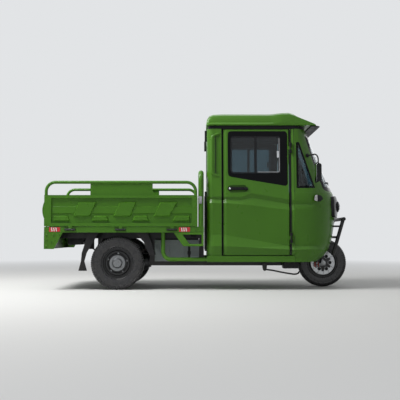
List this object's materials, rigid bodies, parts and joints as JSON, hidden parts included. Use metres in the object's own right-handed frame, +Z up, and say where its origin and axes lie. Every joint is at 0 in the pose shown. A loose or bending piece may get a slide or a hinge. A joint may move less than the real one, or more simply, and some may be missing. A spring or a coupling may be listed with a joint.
{
  "type": "electric cargo tricycle",
  "caption": "Three-wheeled electric goods carrier with a closed cab, a steered front wheel, hinged doors and a flat bed with drop sides and tailgate.",
  "frame": {"origin": "on the ground under the middle of the whole vehicle", "axes": "+X forward, +Y to the vehicle's left, +Z up"},
  "size_m": [3.1779, 1.34, 1.816],
  "materials": {
    "cab_green": "gloss",
    "bed_green": "satin",
    "guard_green": "satin",
    "frame_black": "satin",
    "trim_black": "matte",
    "gloss_black": "gloss",
    "battery_grey": "matte",
    "glass": "clear",
    "lens": "clear",
    "lamp_red": "gloss",
    "seat_vinyl": "satin",
    "axle_iron": "matte",
    "motor_alloy": "satin",
    "spring_steel": "satin",
    "rim_black": "satin",
    "hub_silver": "satin",
    "disc_steel": "satin",
    "tyre": "matte"
  },
  "bodies": {
    "chassis": {"frame_rails": "frame_black", "frame_cross_members": "frame_black", "frame_uprights": "frame_black", "steering_head": "frame_black", "spring_hangers": "frame_black", "bed_hinges": "frame_black", "door_hinges": "frame_black", "front_bumper": "frame_black", "rear_axle": "axle_iron", "drive_motor": "motor_alloy", "leaf_springs": "spring_steel", "battery_box": "battery_grey", "bed_floor": "bed_green", "headboard": "bed_green", "headboard_hoop": "bed_green", "rear_bumper": "bed_green", "tail_lamps": "lamp_red", "mud_flaps": "trim_black", "arch_liner": "trim_black", "seat_base": "trim_black", "dashboard": "trim_black", "roof_frame": "trim_black", "mirrors": "trim_black", "turn_signals": "trim_black", "back_strips": "trim_black", "side_guards": "guard_green", "step_hoops": "guard_green", "cab_floor": "cab_green", "quarter_panels": "cab_green", "back_wall": "cab_green", "hinge_posts": "cab_green", "cab_nose": "cab_green", "screen_frame": "cab_green", "roof": "cab_green", "bulkhead": "cab_green", "visor": "gloss_black", "garnish": "gloss_black", "cab_glass": "glass", "headlamps": "lens", "seat_cushion": "seat_vinyl", "seat_back": "seat_vinyl"},
    "steering": {"fork": "frame_black", "handlebar": "frame_black", "brake_caliper": "motor_alloy"},
    "front_wheel": {"front_rim": "rim_black", "front_tyre": "tyre", "brake_disc": "disc_steel"},
    "rear_wheel_right": {"rear_rim_right": "rim_black", "rear_tyre_right": "tyre", "rear_hub_right": "hub_silver"},
    "rear_wheel_left": {"rear_rim_left": "rim_black", "rear_tyre_left": "tyre", "rear_hub_left": "hub_silver"},
    "door_right": {"door_right": "cab_green", "door_glass_right": "glass"},
    "door_left": {"door_left": "cab_green", "door_glass_left": "glass"},
    "gate_right": {"gate_right": "bed_green"},
    "gate_left": {"gate_left": "bed_green"},
    "tailgate": {"tailgate": "bed_green"}
  },
  "joints": [
    {"name": "steering", "type": "hinge", "parent": "chassis", "child": "steering", "pos_m": [1.307, 0, 0.258], "axis": [-0.342, 0, 0.9397], "range_deg": [-38, 38]},
    {"name": "front_wheel_spin", "type": "hinge", "parent": "steering", "child": "front_wheel", "pos_m": [1.331, 0, 0.258], "axis": [0, 1, 0], "continuous": true},
    {"name": "rear_wheel_right_spin", "type": "hinge", "parent": "chassis", "child": "rear_wheel_right", "pos_m": [-0.822, -0.45, 0.268], "axis": [0, 1, 0], "continuous": true},
    {"name": "rear_wheel_left_spin", "type": "hinge", "parent": "chassis", "child": "rear_wheel_left", "pos_m": [-0.822, 0.45, 0.268], "axis": [0, 1, 0], "continuous": true},
    {"name": "door_right_hinge", "type": "hinge", "parent": "chassis", "child": "door_right", "pos_m": [0.93, -0.53724, 0.52408], "axis": [0, 0.0301, 0.9995], "range_deg": [0, 70]},
    {"name": "door_left_hinge", "type": "hinge", "parent": "chassis", "child": "door_left", "pos_m": [0.93, 0.53724, 0.52408], "axis": [0, 0.0301, -0.9995], "range_deg": [0, 70]},
    {"name": "gate_right_hinge", "type": "hinge", "parent": "chassis", "child": "gate_right", "pos_m": [-0.784, -0.557, 0.606], "axis": [1, 0, 0], "range_deg": [0, 170]},
    {"name": "gate_left_hinge", "type": "hinge", "parent": "chassis", "child": "gate_left", "pos_m": [-0.784, 0.557, 0.606], "axis": [-1, 0, 0], "range_deg": [0, 170]},
    {"name": "tailgate_hinge", "type": "hinge", "parent": "chassis", "child": "tailgate", "pos_m": [-1.57, 0, 0.606], "axis": [0, -1, 0], "range_deg": [0, 170]}
  ]
}
